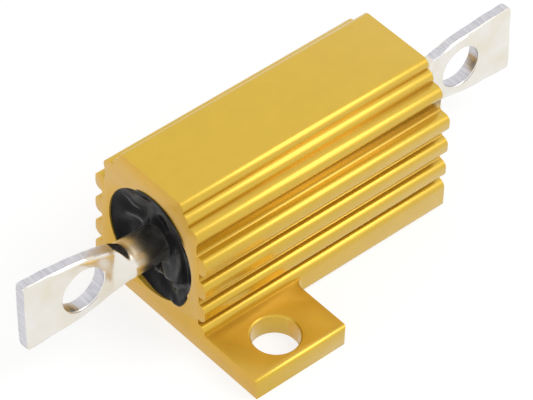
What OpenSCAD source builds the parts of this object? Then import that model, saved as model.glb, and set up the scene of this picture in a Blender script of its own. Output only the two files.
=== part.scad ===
// Aluminium housed power resistor, 5 watt size: a finned, extruded housing with two
// diagonal mounting feet, a wound ceramic element potted in silicone, and two solder lugs.
// X runs from lug to lug, Z is up, and the origin is under the middle of the base.

/* [Housing] */
// Length of the housing between its sawn end faces
body_l = 15.9; // [15:0.1:17]
// Width across the tips of the side fins
body_w = 8.3; // [8.2:0.05:8.6]
// Height from the base to the flat top
body_h = 8.8; // [8.8:0.05:9.2]
// Width over the rounded shoulders of the top
shoulder_w = 4.8; // [4.7:0.05:4.9]
// Rounding of the shoulders
shoulder_r = 0.4; // [0.35:0.01:0.45]
// Thickness of the side fins
fin_t = 1.04; // [1:0.01:1.1]
// Rounding of the fins' outer edges
fin_r = 0.36; // [0.3:0.01:0.4]
// Distance from one side fin to the next
fin_pitch = 1.58; // [1.55:0.01:1.6]
// Height of the lowest side fin's centre line
fin_low_z = 2.56; // [2.5:0.01:2.6]
// Depth of the side wall between the fins, in from the fin tips
fin_depth = 0.5; // [0.45:0.01:0.55]
// Fillet between the side wall and the top of each fin
fin_fillet = 0.16; // [0.1:0.01:0.2]
// Height of the ridge where the flange leaves the wall
ridge_h = 1.72; // [1.65:0.01:1.75]

/* [Mounting feet] */
// Width over both feet
feet_w = 16.1; // [15.8:0.1:16.8]
// Length of each foot along the housing
foot_l = 5.8; // [5.4:0.05:6]
// Thickness of each foot
foot_t = 1.2; // [1.1:0.05:1.3]
// Diameter of the screw hole in each foot
foot_hole_d = 2.5; // [2.2:0.05:2.6]
// Width of the broken edge round each screw hole
foot_hole_break = 0.08; // [0.05:0.01:0.12]
// Distance from the housing's end face to the hole's centre
foot_hole_end = 2.75; // [2.3:0.05:2.8]
// Distance from the foot's outer edge to the hole's centre
foot_hole_edge = 1.8; // [1.6:0.05:1.9]
// Rounding of a foot's free corner
foot_corner_r = 0.2; // [0.1:0.05:0.5]
// Radius that the milling cutter leaves between foot and side
cutter_r = 0.6; // [0.3:0.05:0.8]

/* [Bore and moulding] */
// Diameter of the bore through the housing
bore_d = 6.2; // [6:0.05:6.3]
// Height of the bore's axis above the base
bore_z = 4.3; // [4.2:0.05:4.4]
// How far the moulding's rim lies inside each end of the bore
rim_recess = 0.25; // [0.15:0.05:0.4]
// How far the moulding dishes in from its rim to its middle
dish_depth = 0.7; // [0.5:0.05:0.9]

/* [Wound element] */
// Diameter of the ceramic core
core_d = 3.4; // [3.2:0.1:3.6]
// Length of the ceramic core
core_l = 10.6; // [10:0.1:11]
// Diameter of the resistance wire
wire_d = 0.26; // [0.2:0.01:0.3]
// Number of turns of resistance wire
wire_turns = 11; // [8:1:13]
// Wall of the pressed end caps
cap_t = 0.35; // [0.3:0.01:0.4]
// Outside length of each end cap
cap_l = 2; // [1.8:0.1:2.2]

/* [Terminals] */
// Length over both terminals
overall_l = 31.8; // [31.2:0.1:32.4]
// Diameter of the round shank that leaves the moulding
shank_d = 2; // [1.8:0.1:2.1]
// Length of the round shank past the housing's end face
shank_l = 1.6; // [1.4:0.1:1.8]
// Length over which the shank is pressed down to the flat lug
press_l = 1; // [0.8:0.1:1.1]
// Thickness of the flattened lug
lug_t = 0.55; // [0.45:0.05:0.7]
// Width of the lug at its free end
lug_w = 4.1; // [3.9:0.1:4.4]
// Width of the lug at its root
lug_root_w = 2.9; // [2.6:0.1:3.1]
// Diameter of the wire hole in the lug
lug_hole_d = 2.5; // [2:0.1:2.6]
// Distance from the middle of the housing to the lug hole
lug_hole_x = 12.4; // [12.3:0.1:12.6]
// Rounding of the lug's free corners
lug_corner_r = 0.25; // [0.15:0.05:0.5]

/* [Hidden] */

$fn = 64;
over = 0.5;

// Housing section, half of it given by y from the centre plane and z from the base
wall_y = body_w / 2 - fin_depth;
fins = 3;
// Corner ribs between shoulder and top fin: centre from the centre plane, centre height, radius
corner_ribs = [
    [shoulder_w / 2 - shoulder_r, body_h - shoulder_r, shoulder_r],
    [2.36, body_h - 1.02, 0.45],
    [3.06, body_h - 1.61, 0.46]
];
corner_wall_y = corner_ribs[2][0] + 0.36;
ridge_r = 0.42;
heel_r = 0.25;
edge_r = 0.25;

// Feet
foot_y = feet_w / 2;
foot_x0 = -body_l / 2;
foot_x1 = foot_x0 + foot_l;
hole_x = foot_x0 + foot_hole_end;
hole_y = foot_y - foot_hole_edge;

// Moulding ends: a rim on the bore and an arc dished in to the shank
bore_r = bore_d / 2;
rim_x = body_l / 2 - rim_recess;
dish_r = (bore_r * bore_r + dish_depth * dish_depth) / (2 * dish_depth);

// Wound element
core_r = core_d / 2;
cap_r = core_r + cap_t;
cap_x = core_l / 2 + cap_t;
coil_gap = 0.02;
coil_r = core_r + wire_d / 2 + coil_gap;
coil_space_r = cap_r;
coil_half = cap_x - cap_l - wire_d / 2 - coil_gap;
coil_steps = 24;
coil_sides = 6;

// Terminals, as distances from the middle of the housing
shank_x = body_l / 2 + shank_l;
root_x = shank_x + press_l;
end_x = overall_l / 2;
shank_r = shank_d / 2;
press_steps = 6;
flare_steps = 8;
flare_power = 1.6;

// Places the child's 2D section, drawn as (y, z), along X from x0 to x1.
module along_x(x0, x1) {
    translate([x0, 0, 0]) rotate([90, 0, 90]) linear_extrude(x1 - x0) children();
}

// Copies the child turned half a turn about Z, as the housing's two feet lie.
module half_turn_pair() {
    children();
    rotate([0, 0, 180]) children();
}

// A round rib, with the metal between it and the centre plane.
module rib(y, z, r) {
    square([y, z + r]);
    translate([y, z]) circle(r);
}

// One side fin with rounded outer edges, and a fillet where its top leaves the wall.
module fin(z, root_y) {
    tip_y = body_w / 2;
    half_t = fin_t / 2;
    translate([0, z - half_t]) square([tip_y - fin_r, fin_t]);
    translate([0, z - half_t + fin_r]) square([tip_y, fin_t - 2 * fin_r]);
    for (side = [-1, 1])
        translate([tip_y - fin_r, z + side * (half_t - fin_r)]) circle(fin_r);
    translate([root_y, z + half_t]) difference() {
        square(fin_fillet);
        translate([fin_fillet, fin_fillet]) circle(fin_fillet);
    }
}

// One side of the housing's section with its fins, drawn at positive y.
module half_section() {
    intersection() {
        union() {
            for (c = corner_ribs) rib(c[0], c[1], c[2]);
            square([corner_wall_y, corner_ribs[2][1]]);
            square([wall_y, fin_low_z + (fins - 1) * fin_pitch]);
            for (i = [0 : fins - 1])
                fin(fin_low_z + i * fin_pitch, i == fins - 1 ? corner_wall_y : wall_y);
            // Flange root ridge, milled flush with the fins
            rib(body_w / 2 - ridge_r, ridge_h - ridge_r, ridge_r);
            square([body_w / 2, ridge_h - ridge_r]);
        }
        // Broken lower edge
        union() {
            translate([0, heel_r]) square([body_w, body_h]);
            square([body_w / 2 - heel_r, body_h]);
            translate([body_w / 2 - heel_r, heel_r]) circle(heel_r);
        }
    }
}

module section() {
    half_section();
    mirror([1, 0]) half_section();
}

// One foot: the flange's rounded section, cut to the foot's plan by milling.
module foot() {
    intersection() {
        along_x(foot_x0, foot_x1) mirror([1, 0]) {
            square([foot_y, foot_t - edge_r]);
            square([foot_y - edge_r, foot_t]);
            translate([foot_y - edge_r, foot_t - edge_r]) circle(edge_r);
        }
        union() {
            translate([foot_x0, -foot_y, 0]) cube([foot_l - foot_corner_r, foot_y, foot_t]);
            translate([foot_x0, foot_corner_r - foot_y, 0])
                cube([foot_l, foot_y - foot_corner_r, foot_t]);
            translate([foot_x1 - foot_corner_r, foot_corner_r - foot_y, 0])
                cylinder(h = foot_t, r = foot_corner_r);
        }
    }
    // Concave corner left by the cutter
    difference() {
        translate([foot_x1, -body_w / 2 - cutter_r, 0])
            cube([cutter_r, 2 * cutter_r, foot_t]);
        translate([foot_x1 + cutter_r, -body_w / 2 - cutter_r, -over])
            cylinder(h = foot_t + 2 * over, r = cutter_r);
    }
}

module housing() {
    color("goldenrod")
    difference() {
        union() {
            along_x(-body_l / 2, body_l / 2) section();
            half_turn_pair() foot();
        }
        translate([0, 0, bore_z]) rotate([0, 90, 0])
            cylinder(h = body_l + 2 * over, d = bore_d, center = true, $fn = 96);
        half_turn_pair() translate([hole_x, -hole_y, 0]) {
            translate([0, 0, -over]) cylinder(h = foot_t + 2 * over, d = foot_hole_d);
            translate([0, 0, foot_t - foot_hole_break])
                cylinder(h = foot_hole_break + over, d1 = foot_hole_d,
                    d2 = foot_hole_d + 2 * (foot_hole_break + over));
        }
    }
}

// Turns its child's section, drawn as (radius, x), about the bore's axis.
module turned() {
    translate([0, 0, bore_z]) rotate([0, 90, 0]) rotate_extrude($fn = 96) children();
}

module silicone_moulding() {
    color("black")
    difference() {
        turned() difference() {
            translate([0, -rim_x]) square([bore_r, 2 * rim_x]);
            for (side = [-1, 1])
                translate([0, side * (rim_x - dish_depth + dish_r)]) circle(dish_r, $fn = 128);
            // Room for the core, its caps and the turns of wire
            translate([0, -cap_x]) square([cap_r, 2 * cap_x]);
        }
        translate([0, 0, bore_z]) rotate([0, 90, 0])
            cylinder(h = body_l, r = shank_r, center = true);
    }
}

module ceramic_core() {
    color("white")
    turned() translate([0, -core_l / 2]) square([core_r, core_l]);
}

// Points of one ring of the wire at angle a, as a helix about the X axis.
function coil_ring(a, lead) = [
    for (j = [0 : coil_sides - 1])
        let (
            b = 360 * j / coil_sides,
            r = coil_r + wire_d / 2 * cos(b)
        )
        [lead + wire_d / 2 * sin(b), r * cos(a), bore_z + r * sin(a)]
];

module resistance_winding() {
    rings = wire_turns * coil_steps;
    points = [
        for (i = [0 : rings])
            each coil_ring(360 * i / coil_steps, coil_half * (2 * i / rings - 1))
    ];
    walls = [
        for (i = [0 : rings - 1], j = [0 : coil_sides - 1])
            let (k = (j + 1) % coil_sides, a = i * coil_sides, b = a + coil_sides)
            [a + j, b + j, b + k, a + k]
    ];
    ends = [
        [for (j = [0 : coil_sides - 1]) j],
        [for (j = [coil_sides - 1 : -1 : 0]) rings * coil_sides + j]
    ];
    color("dimgray") polyhedron(points, concat(walls, ends));
}

// One pressed cup on the core's end, drawn at the near end.
module end_cap() {
    color("lightgray")
    turned() difference() {
        translate([0, -cap_x]) square([cap_r, cap_l]);
        translate([0, -core_l / 2]) square([core_r, cap_l]);
    }
}

module end_cap_near() {
    end_cap();
}

module end_cap_far() {
    rotate([0, 0, 180]) end_cap();
}

// Half width of the lug at t, from 0 at its root to 1 at its free end.
function lug_half_w(t) = (lug_root_w + (lug_w - lug_root_w) * (1 - pow(1 - t, flare_power))) / 2;

// Half thickness at t, from 0 where the pressing starts to 1 where the lug is flat.
function lug_half_t(t) = shank_r + (lug_t / 2 - shank_r) * (1 - cos(180 * t)) / 2;

// A band between x0 and x1 whose edges follow the points above and their mirror images.
module mirrored_band(upper) {
    n = len(upper) - 1;
    polygon(concat(upper, [for (i = [n : -1 : 0]) [upper[i][0], -upper[i][1]]]));
}

// Lug outline in x and z about the shank's axis, flaring towards its free end.
module lug_outline() {
    corner_x = end_x - lug_corner_r;
    flare_l = corner_x - root_x;
    difference() {
        union() {
            mirrored_band([
                [shank_x, shank_r],
                for (i = [0 : flare_steps])
                    [root_x + flare_l * i / flare_steps, lug_half_w(i / flare_steps)],
                [end_x, lug_w / 2 - lug_corner_r]
            ]);
            for (side = [-1, 1])
                translate([corner_x, side * (lug_w / 2 - lug_corner_r)]) circle(lug_corner_r);
        }
        translate([lug_hole_x, 0]) circle(d = lug_hole_d);
    }
}

// Thickness of the terminal in x and y: the round wire pressed down to a flat.
module lug_thickness() {
    mirrored_band([
        for (i = [0 : press_steps])
            [shank_x + press_l * i / press_steps, lug_half_t(i / press_steps)],
        [end_x, lug_t / 2]
    ]);
}

// A terminal drawn at the far end: welded to its cap, round in the moulding, flat outside.
module terminal() {
    color("gainsboro")
    translate([0, 0, bore_z]) {
        translate([cap_x, 0, 0]) rotate([0, 90, 0]) cylinder(h = shank_x - cap_x, r = shank_r);
        intersection() {
            rotate([90, 0, 0]) translate([0, 0, -shank_d]) linear_extrude(2 * shank_d) lug_outline();
            translate([0, 0, -lug_w]) linear_extrude(2 * lug_w) lug_thickness();
            translate([shank_x, 0, 0]) rotate([0, 90, 0])
                cylinder(h = end_x - shank_x, r1 = shank_r, r2 = 3 * lug_w);
        }
    }
}

module terminal_near() {
    rotate([0, 0, 180]) terminal();
}

module terminal_far() {
    terminal();
}

housing();
silicone_moulding();
ceramic_core();
resistance_winding();
end_cap_near();
end_cap_far();
terminal_near();
terminal_far();
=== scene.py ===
import math

import bmesh
import bpy
import numpy as np
from mathutils import Matrix, Vector


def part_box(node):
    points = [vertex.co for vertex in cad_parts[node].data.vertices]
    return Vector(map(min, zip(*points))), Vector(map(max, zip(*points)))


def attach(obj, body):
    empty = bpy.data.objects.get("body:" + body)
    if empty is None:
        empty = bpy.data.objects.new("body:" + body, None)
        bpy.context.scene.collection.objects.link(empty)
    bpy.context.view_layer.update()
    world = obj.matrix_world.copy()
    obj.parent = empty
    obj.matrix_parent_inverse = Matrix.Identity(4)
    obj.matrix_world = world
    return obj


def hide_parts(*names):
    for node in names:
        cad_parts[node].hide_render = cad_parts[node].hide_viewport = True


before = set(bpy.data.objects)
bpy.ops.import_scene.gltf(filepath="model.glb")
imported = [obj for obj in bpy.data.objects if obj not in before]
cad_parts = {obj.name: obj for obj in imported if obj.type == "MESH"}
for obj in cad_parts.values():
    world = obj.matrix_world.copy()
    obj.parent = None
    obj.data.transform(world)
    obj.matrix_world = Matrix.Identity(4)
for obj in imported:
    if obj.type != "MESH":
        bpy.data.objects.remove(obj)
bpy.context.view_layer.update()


# ---------------------------------------------------------------- Camera
# A long lens above the corner between the near end (-X) and the ribbed side (-Y), turned
# slightly about its own axis, so that the near lug, the ribs and the top are all in view.
MM = 0.001
AIM = Vector((1.75, 2.30, -0.60)) * MM
AZIMUTH = math.radians(-42.77)
ELEVATION = math.radians(45.04)
ROLL = math.radians(2.24)
DISTANCE = 196.0 * MM
FOCAL_LENGTH = 260.3
SENSOR_WIDTH = 36.0
back = Vector((math.sin(AZIMUTH) * math.cos(ELEVATION),
               -math.cos(AZIMUTH) * math.cos(ELEVATION),
               math.sin(ELEVATION)))
camera = bpy.data.objects.new("camera", bpy.data.cameras.new("camera"))
camera.data.sensor_width = SENSOR_WIDTH
camera.data.lens = FOCAL_LENGTH
camera.data.clip_start = 0.01
camera.data.clip_end = 10.0
camera.rotation_mode = "QUATERNION"
camera.location = AIM + back * DISTANCE
camera.rotation_quaternion = ((-back).to_track_quat("-Z", "Y").to_matrix()
                              @ Matrix.Rotation(ROLL, 3, "Z")).to_quaternion()
bpy.context.scene.collection.objects.link(camera)
bpy.context.scene.camera = camera


# ---------------------------------------------------------------- Ceramic core
# A white ceramic rod that carries the winding. It is extruded, cut to length, fired and left
# unglazed, and the end caps are pressed on its ends. The moulding hides it.
COAT_ROUGHNESS = 0.12
NOISE_LOW, NOISE_HIGH = 0.3, 0.7


def finish(name, color, metallic, roughness, coat=0.0):
    """A new material with these constants on its one Principled shader.

    Returns the material, its node tree and the shader."""
    material = bpy.data.materials.new(name)
    material.use_nodes = True
    tree = material.node_tree
    shader = tree.nodes["Principled BSDF"]
    shader.inputs["Base Color"].default_value = (*color, 1)
    shader.inputs["Metallic"].default_value = metallic
    shader.inputs["Roughness"].default_value = roughness
    shader.inputs["Coat Weight"].default_value = coat
    shader.inputs["Coat Roughness"].default_value = COAT_ROUGHNESS
    return material, tree, shader


def object_noise(tree, size, stretch=(1, 1, 1), detail=2.0):
    """Noise on Object coordinates, with features size metres long times stretch along each axis."""
    place = tree.nodes.new("ShaderNodeTexCoord")
    mapping = tree.nodes.new("ShaderNodeMapping")
    mapping.inputs["Scale"].default_value = [1 / (size * s) for s in stretch]
    noise = tree.nodes.new("ShaderNodeTexNoise")
    noise.inputs["Scale"].default_value = 1.0
    noise.inputs["Detail"].default_value = detail
    tree.links.new(place.outputs["Object"], mapping.inputs["Vector"])
    tree.links.new(mapping.outputs["Vector"], noise.inputs["Vector"])
    return noise.outputs["Fac"]


def spread(tree, value, low, high):
    """Maps the range that a noise mostly fills onto low to high."""
    node = tree.nodes.new("ShaderNodeMapRange")
    node.inputs["From Min"].default_value = NOISE_LOW
    node.inputs["From Max"].default_value = NOISE_HIGH
    node.inputs["To Min"].default_value = low
    node.inputs["To Max"].default_value = high
    tree.links.new(value, node.inputs["Value"])
    return node.outputs["Result"]


def two_tone(tree, value, dark, light):
    """A colour ramp from dark to light over the range that a noise mostly fills."""
    ramp = tree.nodes.new("ShaderNodeValToRGB")
    low_end, high_end = ramp.color_ramp.elements
    low_end.position = NOISE_LOW
    high_end.position = NOISE_HIGH
    low_end.color = (*dark, 1)
    high_end.color = (*light, 1)
    tree.links.new(value, ramp.inputs["Fac"])
    return ramp.outputs["Color"]


def bump(tree, shader, value, height):
    """Tilts the shader's normal as if the surface rose by height metres where value is 1."""
    node = tree.nodes.new("ShaderNodeBump")
    node.inputs["Distance"].default_value = height
    tree.links.new(value, node.inputs["Height"])
    if shader.inputs["Normal"].is_linked:
        tree.links.new(shader.inputs["Normal"].links[0].from_socket, node.inputs["Normal"])
    tree.links.new(node.outputs["Normal"], shader.inputs["Normal"])


def dress_node(node_name, material):
    """Puts this one material on a CAD node's object."""
    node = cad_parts[node_name]
    node.data.materials.clear()
    node.data.materials.append(material)


ceramic, tree, shader = finish("fired_ceramic", (0.82, 0.80, 0.74), 0.0, 0.45)
grain = object_noise(tree, 0.12 * MM)
speckle = two_tone(tree, grain, (0.76, 0.73, 0.66), (0.86, 0.84, 0.79))
tree.links.new(speckle, shader.inputs["Base Color"])
bump(tree, shader, grain, 0.01 * MM)
dress_node("ceramic_core", ceramic)


# ---------------------------------------------------------------- Resistance winding
# Nickel chromium wire wound in one layer on the core between the two caps, its drawn surface
# dulled by oxide. The moulding hides it.
alloy, tree, shader = finish("oxidised_wire", (0.33, 0.31, 0.29), 1.0, 0.4)
oxide = object_noise(tree, 0.3 * MM)
dulling = two_tone(tree, oxide, (0.24, 0.22, 0.20), (0.44, 0.42, 0.40))
tree.links.new(dulling, shader.inputs["Base Color"])
tree.links.new(spread(tree, oxide, 0.32, 0.5), shader.inputs["Roughness"])
dress_node("resistance_winding", alloy)


# ---------------------------------------------------------------- End caps
# Thin steel cups pressed on the core's ends, nickel plated, with faint draw marks along X.
# The winding is welded to their skirts and the terminals to their floors.
plated, tree, shader = finish("nickel_plated_steel", (0.62, 0.60, 0.57), 1.0, 0.3)
drawn = object_noise(tree, 0.06 * MM, stretch=(14, 1, 1))
tree.links.new(spread(tree, drawn, 0.24, 0.4), shader.inputs["Roughness"])
bump(tree, shader, drawn, 0.004 * MM)
for cap in ("end_cap_near", "end_cap_far"):
    dress_node(cap, plated)


# ---------------------------------------------------------------- Terminals
# Round wire, 2 mm thick, welded to the end cap. Its outer end is pressed flat to a flared lug,
# pierced for a wire and dipped in tin, which leaves the lug a little wavy and out of line.
terminal_low, terminal_high = (np.array(corner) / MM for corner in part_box("terminal_far"))
axis_z = (terminal_low[2] + terminal_high[2]) / 2
shank_start = terminal_low[0]
shank_r = terminal_high[1]
lug_end = terminal_high[0]
# In millimetres, as every size is until MM turns it to metres
press_start = 9.55
press_end = 10.55
hole_x = 12.4
nose = 0.24


def smooth(x, x0, x1):
    """0 before x0, 1 after x1, and a cubic with level ends between them."""
    t = np.clip((x - x0) / (x1 - x0), 0, 1)
    return t * t * (3 - 2 * t)


def tidy_mesh(mesh):
    """Turns a closed mesh's faces outwards, and keeps its edges sharper than 32 degrees crisp."""
    work = bmesh.new()
    work.from_mesh(mesh)
    bmesh.ops.recalc_face_normals(work, faces=work.faces)
    work.to_mesh(mesh)
    work.free()
    mesh.shade_smooth()
    mesh.set_sharp_from_angle(angle=math.radians(32))


def put_mesh(name, points, faces, materials):
    """A new object from points in metres and faces, with these material slots, tidied."""
    mesh = bpy.data.meshes.new(name)
    mesh.from_pydata(points.reshape(-1, 3).tolist(), [], faces)
    piece = bpy.data.objects.new(name, mesh)
    bpy.context.scene.collection.objects.link(piece)
    for material in materials:
        mesh.materials.append(material)
    tidy_mesh(mesh)
    return piece


def grid_quads(this_row, next_row, columns):
    """Quads between each row of a grid of points and its next row, closed round the columns."""
    i, j = np.meshgrid(this_row, np.arange(columns), indexing="ij")
    i_next = np.broadcast_to(next_row[:, None], i.shape)
    j_next = (j + 1) % columns
    corners = [i * columns + j, i_next * columns + j, i_next * columns + j_next, i * columns + j_next]
    return np.stack(corners, -1).reshape(-1, 4).tolist()


def tube_faces(rows, columns):
    """Faces of a tube of rows rings with columns points each, its two ends closed by one face."""
    start = np.arange(rows - 1)
    first_ring = list(range(columns))
    last_ring = list(range((rows - 1) * columns, rows * columns))
    return grid_quads(start, start + 1, columns) + [first_ring, last_ring]


def lug_points(half_thick, half_wide, rise, twist, phase):
    """A terminal's surface, as stations along X by points round the section.

    Over the press the half thickness t falls from the shank's radius to half_thick as half a
    cosine wave, and the half width w grows from it to root as the cubic smooth. From there
    w = root + (half_wide - root) (1 - (1 - s)^1.6), with s from 0 to 1 at the end. Beside the
    hole w swells by 0.13 exp(-((x - hole_x) / 1.7)^2), where the piercing pushed the metal out.
    Over the nose both draw in as a quarter ellipse. The section is |y / t|^p + |z / w|^p = 1,
    with p from 2, the round shank, to 9, the flat with soft edges, and its points are spaced
    evenly along it. From the press to the end the lug rises by rise and turns by twist about X,
    both growing evenly, and small sines of x and z with this phase ripple it."""
    root = 1.45
    nose_thin, nose_narrow = 0.08, 0.20
    shank_x = np.linspace(shank_start, press_start, 24)
    press_x = np.linspace(press_start, press_end, 16)[1:]
    flat_x = np.linspace(press_end, lug_end - nose, 44)[1:]
    draw = np.sin(np.linspace(0, 0.49 * math.pi, 7))[1:]
    x = np.concatenate([shank_x, press_x, flat_x, lug_end - nose + nose * draw])
    inset = np.concatenate([np.zeros(x.size - draw.size), 1 - np.sqrt(1 - draw ** 2)])

    pressed = np.clip((x - press_start) / (press_end - press_start), 0, 1)
    t = shank_r + (half_thick - shank_r) * (0.5 - 0.5 * np.cos(math.pi * pressed)) - nose_thin * inset
    flare = np.clip((x - press_end) / (lug_end - press_end), 0, 1)
    w_press = shank_r + (root - shank_r) * smooth(x, press_start + 0.1, press_end)
    w_flat = root + (half_wide - root) * (1 - (1 - flare) ** 1.6)
    w = np.where(x < press_end, w_press, w_flat) - nose_narrow * inset
    w = w + 0.13 * np.exp(-((x - hole_x) / 1.7) ** 2) * (x > press_start)

    power = 2 + 7 * smooth(x, press_start + 0.15, press_end + 0.5)
    angle = np.linspace(0, 2 * math.pi, 72, endpoint=False)
    fine = np.linspace(0, 2 * math.pi, 4001)
    sections = []
    for t_here, w_here, p in zip(t, w, power):
        y_line = t_here * np.sign(np.cos(fine)) * np.abs(np.cos(fine)) ** (2 / p)
        z_line = w_here * np.sign(np.sin(fine)) * np.abs(np.sin(fine)) ** (2 / p)
        run = np.concatenate([[0], np.cumsum(np.hypot(np.diff(y_line), np.diff(z_line)))])
        even = angle / (2 * math.pi) * run[-1]
        sections.append([np.interp(even, run, y_line), np.interp(even, run, z_line)])
    y, z = np.array(sections).transpose(1, 0, 2)

    x = np.broadcast_to(x[:, None], y.shape)
    flat = smooth(x, press_start, press_end + 0.6)
    ripple = 0.012 * np.sin(2.3 * x + 1.7 * z + phase) + 0.007 * np.sin(5.1 * x - 3.3 * z + 2 * phase)
    y = y + flat * ripple
    share = np.clip((x - press_start) / (lug_end - press_start), 0, 1)
    turn = twist * share
    y, z = y * np.cos(turn) + z * np.sin(turn), z * np.cos(turn) - y * np.sin(turn)
    z = z + rise * share + flat * 0.01 * np.sin(3.1 * x + phase)
    return np.stack([x, y, z], -1)


def hole_cutter(half_thick, hole_r, shift):
    """The hole's cutter, a profile turned about the hole's axis, shift above the shank's axis.

    Its radius is hole_r inside the metal and opens to each face as a quarter circle of radius
    rim. From clear beyond the faces it runs on to reach."""
    rim = 0.07
    clear = 0.006
    reach = 1.5
    bend = np.linspace(0, math.pi / 2, 7)
    out_y = half_thick - rim + rim * np.sin(bend)
    out_r = hole_r + rim - rim * np.cos(bend)
    wide = [out_r[-1] + 0.05]
    y = np.concatenate([[-reach], -out_y[::-1] - clear, out_y + clear, [reach]])[:, None]
    r = np.concatenate([wide, out_r[::-1], out_r, wide])[:, None]
    turn = np.linspace(0, 2 * math.pi, 72, endpoint=False)
    x = hole_x + r * np.cos(turn)
    return np.stack([x, np.broadcast_to(y, x.shape), shift + r * np.sin(turn)], -1)


tin, tree, shader = finish("dipped_tin", (0.86, 0.83, 0.75), 1.0, 0.2)
cloud = object_noise(tree, 1.4 * MM)
fine_grain = object_noise(tree, 0.07 * MM)
clouded = two_tone(tree, cloud, (0.78, 0.73, 0.62), (0.84, 0.82, 0.78))
tree.links.new(clouded, shader.inputs["Base Color"])
tree.links.new(spread(tree, cloud, 0.16, 0.28), shader.inputs["Roughness"])
bump(tree, shader, cloud, 0.02 * MM)
bump(tree, shader, fine_grain, 0.001 * MM)

# A darker, bluer grey for the sheared faces: partly duller sheared metal, partly painted shade on the
# wall of the hole and on the end and edges turned from the lamps.
sheared_and_shaded, tree, shader = finish("sheared_tin_painted_shade", (0.62, 0.61, 0.64), 1.0, 0.3)
shear = object_noise(tree, 0.12 * MM, stretch=(1, 8, 1))
scored = two_tone(tree, shear, (0.54, 0.53, 0.57), (0.71, 0.70, 0.73))
tree.links.new(scored, shader.inputs["Base Color"])
bump(tree, shader, shear, 0.006 * MM)


def shade_sheared_faces(mesh):
    """Puts the second material on the sheared long edges, the end and the wall of the hole.

    Those are the faces past the press whose normal lies more than 65 degrees from Y. Its darker,
    bluer grey is partly the duller sheared metal and partly painted shade, most of all in the hole."""
    count = len(mesh.polygons)
    normals = np.zeros(count * 3)
    centres = np.zeros(count * 3)
    mesh.polygons.foreach_get("normal", normals)
    mesh.polygons.foreach_get("center", centres)
    past_press = np.abs(centres[::3]) / MM > press_end - 0.1
    upright = np.abs(normals[1::3]) < 0.42
    mesh.polygons.foreach_set("material_index", (past_press & upright).astype(np.int32))


# Node, side, half thickness, half width at the end, hole radius, rise, twist in radians, phase.
# The points are worked out for the far lug, and half_turn carries them to the near end.
for name, side, half_thick, half_wide, hole_r, rise, twist, phase in (
        ("terminal_near", -1, 0.38, 2.07, 1.27, 0.29, 0.06, 0.4),
        ("terminal_far", 1, 0.36, 2.04, 1.22, -0.12, 0.05, 2.1)):
    half_turn = np.array([side, side, 1.0])
    axis = np.array([0, 0, axis_z])
    points = (lug_points(half_thick, half_wide, rise, twist * side, phase) * half_turn + axis) * MM
    lug = put_mesh(name + "_tinned", points, tube_faces(*points.shape[:2]), [tin, sheared_and_shaded])
    hole_rise = rise * (hole_x - press_start) / (lug_end - press_start)
    cut_points = (hole_cutter(half_thick, hole_r, hole_rise) * half_turn + axis) * MM
    cutter = put_mesh("cutter", cut_points, tube_faces(*cut_points.shape[:2]), [])
    pierce = lug.modifiers.new("pierce", "BOOLEAN")
    pierce.object = cutter
    pierce.solver = "EXACT"
    pierced = lug.evaluated_get(bpy.context.evaluated_depsgraph_get())
    pierced_mesh = bpy.data.meshes.new_from_object(pierced)
    lug.modifiers.clear()
    lug.data = pierced_mesh
    bpy.data.objects.remove(cutter)
    tidy_mesh(lug.data)
    shade_sheared_faces(lug.data)
    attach(lug, "root")
    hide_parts(name)


# ---------------------------------------------------------------- Silicone moulding
# Black silicone cast round the wound element and both shanks. It shrinks as it cures, so each
# end is a glossy hollow, and at the near end a tongue of it has run out over the sawn face.
cast_high = np.array(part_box("silicone_moulding")[1]) / MM
bore_r = cast_high[1]
rim_x = cast_high[0]
face_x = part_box("housing")[1][0] / MM
cap_x, cap_r = np.array(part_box("end_cap_far")[1])[:2] / MM
cast_r = bore_r - 0.004
throat_r = shank_r - 0.01


def bell(angle, centre, before, after):
    """exp(-|d|^1.6), where d is the angle from centre over before or after, in degrees.

    It is 1 at centre and falls away over before on the one side and after on the other."""
    off = (np.degrees(angle) - centre + 180) % 360 - 180
    return np.exp(-np.abs(off / np.where(off < 0, before, after)) ** 1.6)


def hollow(angle, sunk, overflow, phase):
    """One end of the casting as radius and x, for each angle by each step from shank to rim.

    x lies below the sawn face by sunk and by the dish 0.75 (1 - (r / bore)^2), and a lip climbs
    the shank as 0.30 exp(-(r - shank) / 0.16). Folds, which are sines of the step and the angle
    with this phase, lie between shank and rim. Where overflow is above 0 the rim runs out over
    the face by that much and stands 0.035 proud of it."""
    step = np.linspace(0, 1, 48)[None, :]
    turn = angle[:, None]
    below = sunk[:, None]
    over = np.clip(overflow, 0, None)[:, None]
    r = throat_r + (cast_r + over - throat_r) * step
    dish = 0.75 * (1 - (np.minimum(r, bore_r) / bore_r) ** 2)
    lip = 0.30 * np.exp(-(r - shank_r) / 0.16)
    slow = 0.10 * np.sin(2 * turn + phase) + 0.06 * np.sin(3 * turn + 2 * phase)
    slow = slow + 0.03 * np.sin(7 * turn)
    fold = 0.07 * np.sin(9 * step + 1.5 * np.sin(turn + phase) + 2 * np.sin(3 * turn))
    between = np.clip(np.sin(math.pi * step), 0, 1) ** 0.8
    x = face_x - below - dish + (slow + fold) * between + lip
    spilled = np.clip(over / 0.12, 0, 1) * smooth(step, 0.72, 0.97)
    return r, x + (below + 0.035) * spilled


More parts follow.
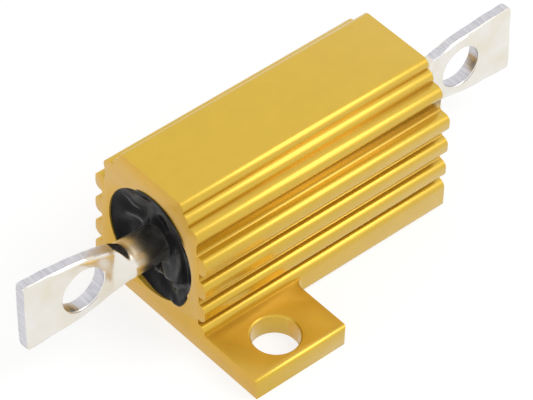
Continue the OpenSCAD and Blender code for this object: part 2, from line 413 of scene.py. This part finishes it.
def shelf(y, z):
    """The fold left by a drip below the near shank: its height, and a mask of painted highlight on
    it.

    down runs from the axis straight across the fold and side runs along it. The height rises
    along down from 0.6 to 1.86 and drops again by 2.06, and a second, lower ridge follows. The
    painted highlight lies on the rise, on its edge and on that ridge, with two streaks of it beyond
    the shank."""
    down = -0.461 * y - 0.887 * z
    side = -0.887 * y + 0.461 * z
    rise = np.clip((down - 0.6) / 1.26, 0, 1) * (1 - smooth(down, 1.86, 2.06))
    rise = rise * smooth(side, -1.5, -0.7) * (1 - smooth(side, 1.3, 2.0))
    ridge = np.exp(-((down + 0.2 * side - 2.37) / 0.11) ** 2) * smooth(side, 0.0, 0.8)
    height = 0.26 * rise + 0.09 * ridge * (1 - smooth(side, 1.7, 2.2))

    face = smooth(down, 0.4, 0.9) * (1 - smooth(down, 1.8, 1.9))
    face = face * smooth(side, -0.6, 0.1) * (1 - smooth(side, 1.2, 1.7))
    edge = np.exp(-((down - 1.88) / 0.06) ** 2)
    edge = edge * smooth(side, -1.5, -1.1) * (1 - smooth(side, -0.2, 1.3))
    low_highlight_streak = np.exp(-((z - 0.25 * y + 0.1) / 0.10) ** 2)
    low_highlight_streak = low_highlight_streak * smooth(y, 1.1, 1.4) * (1 - smooth(y, 1.9, 2.3))
    high_highlight_streak = np.exp(-((z - 0.5 * y - 0.35) / 0.07) ** 2)
    high_highlight_streak = high_highlight_streak * smooth(y, 1.3, 1.6) * (1 - smooth(y, 2.0, 2.5))
    return height, 0.17 * face + 0.75 * edge + 0.22 * ridge + 0.45 * (low_highlight_streak + high_highlight_streak)


# The rim sinks at the foot of the bore, and the spill lies over the face on its lower ribbed
# side and along its top. Angles run from +Y over +Z.
turns = 240
angle = np.linspace(0, 2 * math.pi, turns, endpoint=False)
across = np.cos(angle)[:, None]
upward = np.sin(angle)[:, None]
near_sunk = 0.06 + 0.20 * bell(angle, -76, 22, 14) + 0.05 * bell(angle, 10, 30, 30)
near_spill = 0.30 * bell(angle, -133, 19, 9) + 0.24 * bell(angle, 112, 45, 34) - 0.02
near_r, near_x = hollow(angle, near_sunk, near_spill, 0.9)
far_r, far_x = hollow(angle, 0.22 + 0.05 * np.sin(2 * angle), np.zeros(turns), 2.6)
# shelf also gives a mask of painted highlight for the fold.
fold_height, fold_highlight = shelf(near_r * across, near_r * upward)
near_x = near_x + fold_height

# Each profile runs from the near shank out over the near hollow, back along the bore, in over
# the far hollow and through the space that holds the core.
ring = np.ones((turns, 1))
rim_r = near_r[:, -1:]
rim_edge = -near_x[:, -1:]
wall_x = np.linspace(-rim_x + 0.3, rim_x - 0.3, 12)
core_space_r = [throat_r, cap_r, cap_r, throat_r]
core_space_x = [cap_x, cap_x, -cap_x, -cap_x]
radius = np.concatenate([near_r, rim_r, np.minimum(rim_r, cast_r), ring * np.full(12, cast_r),
                         far_r[:, ::-1], ring * core_space_r], axis=1)
along = np.concatenate([-near_x, rim_edge + 0.03, rim_edge + 0.06, ring * wall_x,
                        far_x[:, ::-1], ring * core_space_x], axis=1)
points = np.stack([along, radius * across, radius * upward + axis_z], -1) * MM
columns = points.shape[1]
start = np.arange(turns)
quads = grid_quads(start, (start + 1) % turns, columns)

silicone, tree, shader = finish("glossy_black_silicone", (0.008, 0.008, 0.009), 0.0, 0.12)
shader.inputs["IOR"].default_value = 1.41
shader.inputs["Specular IOR Level"].default_value = 0.12
smear = object_noise(tree, 0.5 * MM)
dust = object_noise(tree, 0.05 * MM)
tree.links.new(spread(tree, smear, 0.08, 0.22), shader.inputs["Roughness"])
smeared = two_tone(tree, smear, (0.002, 0.002, 0.003), (0.008, 0.007, 0.009))
# Painted highlight: a mask from the mesh mixes a pale grey into the black on the fold, its edge and
# two streaks beside the near shank, where the gloss would catch light.
painted_highlight = tree.nodes.new("ShaderNodeAttribute")
painted_highlight.attribute_name = "painted_highlight"
highlight_mixed = tree.nodes.new("ShaderNodeMixRGB")
highlight_mixed.inputs["Color2"].default_value = (0.36, 0.37, 0.37, 1)
tree.links.new(painted_highlight.outputs["Fac"], highlight_mixed.inputs["Fac"])
tree.links.new(smeared, highlight_mixed.inputs["Color1"])
tree.links.new(highlight_mixed.outputs["Color"], shader.inputs["Base Color"])
bump(tree, shader, smear, 0.03 * MM)
bump(tree, shader, dust, 0.002 * MM)

casting = put_mesh("moulding_cast", points, quads, [silicone])
# The painted highlight mask covers the near hollow only; the rest of the casting stays black.
highlight_grid = np.zeros((turns, columns))
highlight_grid[:, :near_r.shape[1]] = fold_highlight
layer = casting.data.attributes.new("painted_highlight", "FLOAT", "POINT")
layer.data.foreach_set("value", highlight_grid.ravel())
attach(casting, "root")
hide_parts("silicone_moulding")


# ---------------------------------------------------------------- Housing
# One length of finned aluminium extrusion, sawn square, its flanges milled back to two feet and
# drilled, every edge broken by tumbling, then anodised gold over the lot.
def gold_finish(name, color, roughness, streak_stretch, streak_height, grain_height):
    """Gold anodised aluminium: dyed oxide over metal, with tool or die marks along one direction.

    An attribute of the mesh multiplies in a painted shade, dull brown, along the concave edges
    of the ribs, where shadow would lie in the grooves."""
    material, tree, shader = finish(name, color, 0.62, roughness, coat=0.42)
    streak = object_noise(tree, 0.05 * MM, stretch=streak_stretch)
    grain = object_noise(tree, 0.09 * MM, detail=4.0)
    tone = object_noise(tree, 1.1 * MM, detail=5.0)
    dark = [channel * 0.98 for channel in color]
    light = [channel * 1.03 for channel in color]
    uneven = spread(tree, streak, roughness - 0.008, roughness + 0.008)
    tree.links.new(uneven, shader.inputs["Roughness"])
    bump(tree, shader, streak, streak_height)
    bump(tree, shader, grain, grain_height)
    # Painted shade in the grooves: a mask from the mesh multiplies the colour by dull brown along
    # concave edges.
    groove_shade_mask = tree.nodes.new("ShaderNodeAttribute")
    groove_shade_mask.attribute_name = "painted_groove_shade"
    groove_shaded = tree.nodes.new("ShaderNodeMixRGB")
    groove_shaded.blend_type = "MULTIPLY"
    groove_shaded.inputs["Color2"].default_value = (0.76, 0.66, 0.50, 1)
    tree.links.new(groove_shade_mask.outputs["Fac"], groove_shaded.inputs["Fac"])
    tree.links.new(two_tone(tree, tone, dark, light), groove_shaded.inputs["Color1"])
    tree.links.new(groove_shaded.outputs["Color"], shader.inputs["Base Color"])
    return material


def paint_groove_shade(mesh, above):
    """Stores a painted shade mask on each vertex: how sharply its edges along X turn inwards, 1 from
    12 degrees on.

    An edge turns inwards where its second face's centre lies in front of its first face. Only
    edges higher than above count, so that the milled feet stay even in tone."""
    work = bmesh.new()
    work.from_mesh(mesh)
    layer = work.verts.layers.float.new("painted_groove_shade")
    for edge in work.edges:
        if len(edge.link_faces) != 2:
            continue
        first, second = edge.link_faces
        ahead = (second.calc_center_median() - edge.verts[0].co).dot(first.normal)
        along = abs((edge.verts[1].co - edge.verts[0].co).normalized().x)
        if ahead > 0 and along > 0.9 and edge.verts[0].co.z > above:
            bend = min(math.degrees(first.normal.angle(second.normal, 0.0)) / 12, 1)
            for corner in edge.verts:
                corner[layer] = max(corner[layer], bend)
    work.to_mesh(mesh)
    work.free()


extruded = gold_finish("gold_anodised_extruded", (0.725, 0.47, 0.038), 0.26,
                       (60, 1, 1), 0.00012 * MM, 0.0011 * MM)
sawn = gold_finish("gold_anodised_sawn", (0.775, 0.445, 0.026), 0.36,
                   (1, 30, 1), 0.0006 * MM, 0.0008 * MM)
milled = gold_finish("gold_anodised_milled", (0.715, 0.44, 0.050), 0.34,
                     (1, 24, 1), 0.0004 * MM, 0.0007 * MM)

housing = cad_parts["housing"].copy()
housing.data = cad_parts["housing"].data.copy()
housing.name = housing.data.name = "housing_anodised"
bpy.context.scene.collection.objects.link(housing)
housing.data.materials.clear()
for gold in (extruded, sawn, milled):
    housing.data.materials.append(gold)
foot_top = 1.2 * MM
square_on = 0.95
work = bmesh.new()
work.from_mesh(housing.data)
bmesh.ops.remove_doubles(work, verts=work.verts, dist=0.0005 * MM)
bmesh.ops.dissolve_limit(work, angle_limit=math.radians(1.0), verts=work.verts, edges=work.edges)
for face in work.faces:
    face.material_index = 1 if abs(face.normal.x) > square_on else 0
    at_foot_top = abs(face.calc_center_median().z - foot_top) < 0.05 * MM
    if face.normal.z > square_on and at_foot_top:
        face.material_index = 2
    face.smooth = True
work.to_mesh(housing.data)
work.free()
broken = housing.modifiers.new("broken_edges", "BEVEL")
broken.width = 0.05 * MM
broken.segments = 2
broken.limit_method = "ANGLE"
broken.angle_limit = math.radians(35)
tumbled = housing.evaluated_get(bpy.context.evaluated_depsgraph_get())
tumbled_mesh = bpy.data.meshes.new_from_object(tumbled)
housing.modifiers.clear()
housing.data = tumbled_mesh
housing.data.set_sharp_from_angle(angle=math.radians(50))
# Paints shade into the grooves as a vertex mask, kept off the milled feet.
paint_groove_shade(housing.data, foot_top + 0.3 * MM)
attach(housing, "root")
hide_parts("housing")


# ---------------------------------------------------------------- Studio
# The resistor stands on a white table in a white surround. Two soft boxes high over the ribbed
# side light it, and a small card stands low off the near end. The table keeps a faint shadow.
SURROUND = 0.60
TABLE_WHITE = 0.78


def white_backing(tree, base, extra):
    """A strength of base for the light on the object, and base + extra for what is seen.

    What is seen is what camera, glossy and transmission rays meet."""
    path = tree.nodes.new("ShaderNodeLightPath")
    seen = path.outputs["Is Camera Ray"]
    for ray in ("Is Glossy Ray", "Is Transmission Ray"):
        either = tree.nodes.new("ShaderNodeMath")
        either.operation = "MAXIMUM"
        tree.links.new(seen, either.inputs[0])
        tree.links.new(path.outputs[ray], either.inputs[1])
        seen = either.outputs[0]
    strength = tree.nodes.new("ShaderNodeMath")
    strength.operation = "MULTIPLY_ADD"
    strength.inputs[1].default_value = extra
    strength.inputs[2].default_value = base
    tree.links.new(seen, strength.inputs[0])
    return strength.outputs[0]


bpy.ops.mesh.primitive_plane_add(size=3.0, location=(0, 0, 0))
table = bpy.context.object
table.name = "white_table"
paper, tree, shader = finish("white_paper", (0.30, 0.30, 0.30), 0.0, 0.9)
shader.inputs["Specular IOR Level"].default_value = 0.0
shader.inputs["Emission Color"].default_value = (1, 1, 1, 1)
tree.links.new(white_backing(tree, 0.0, TABLE_WHITE), shader.inputs["Emission Strength"])
table.data.materials.append(paper)

world = bpy.data.worlds.new("studio")
bpy.context.scene.world = world
world.use_nodes = True
tree = world.node_tree
sky = tree.nodes["Background"]
sky.inputs["Color"].default_value = (1, 1, 1, 1)
tree.links.new(white_backing(tree, SURROUND, 1.0 - SURROUND), sky.inputs["Strength"])


def softbox(name, direction, distance, width, height, brightness):
    """An area lamp that faces the object from direction. At brightness 1 its face shows white."""
    lamp = bpy.data.objects.new(name, bpy.data.lights.new(name, "AREA"))
    lamp.data.shape = "RECTANGLE"
    lamp.data.size = width
    lamp.data.size_y = height
    lamp.data.energy = brightness * math.pi * width * height
    away = Vector(direction).normalized()
    lamp.location = away * distance
    lamp.rotation_mode = "QUATERNION"
    lamp.rotation_quaternion = (-away).to_track_quat("-Z", "Y")
    bpy.context.scene.collection.objects.link(lamp)


softbox("soft_box", (0.48, -0.42, 0.77), 0.30, 0.17, 0.19, 1.8)
softbox("wide_box", (0.48, -0.47, 0.70), 0.34, 0.24, 0.42, 0.6)
softbox("end_card", (-0.97, -0.04, 0.24), 0.30, 0.07, 0.07, 4.0)

bpy.context.scene.view_settings.view_transform = "Standard"
